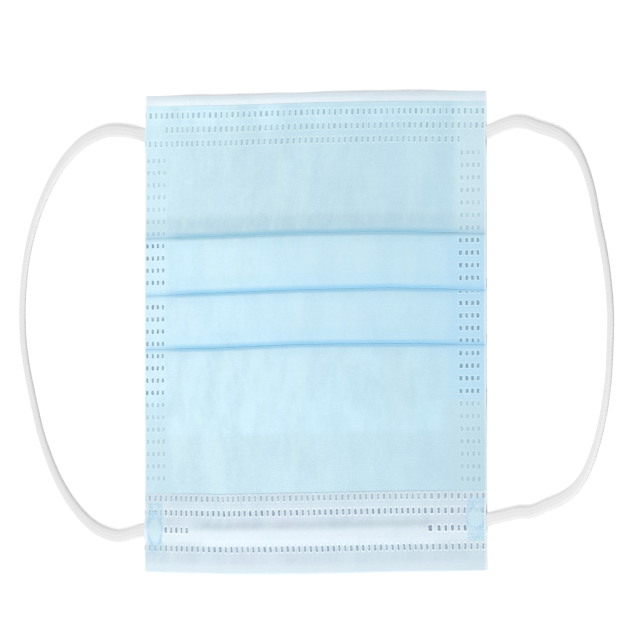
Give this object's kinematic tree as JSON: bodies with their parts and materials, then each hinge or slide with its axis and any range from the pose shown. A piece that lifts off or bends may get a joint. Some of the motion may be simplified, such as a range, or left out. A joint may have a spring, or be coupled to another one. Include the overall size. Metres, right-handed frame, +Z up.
{
  "type": "surgical face mask",
  "caption": "Pleated disposable face mask, folded flat with its coloured side up, wired nose hem at one edge, elastic ear loops at both sides.",
  "frame": {"origin": "centre of the lowest plane under the mask's folded body, ear loops not counted; z = 0 is the surface that it lies on", "axes": "+X along the nose edge, +Y from the nose edge to the chin edge, +Z up through the coloured outer face"},
  "size_m": [0.3048, 0.0966, 0.0048],
  "materials": {
    "outer_ply": "pale blue spunbond nonwoven, matt",
    "inner_ply": "white spunbond nonwoven, matt and slightly see-through",
    "wire": "plastic-sheathed steel strip",
    "elastic": "soft white knitted elastic"
  },
  "bodies": {
    "root": {"pleated_body": "outer_ply", "nose_hem": "inner_ply", "nose_wire": "wire", "chin_edge": "inner_ply", "ear_loop_left": "elastic", "ear_loop_right": "elastic"}
  },
  "joints": []
}
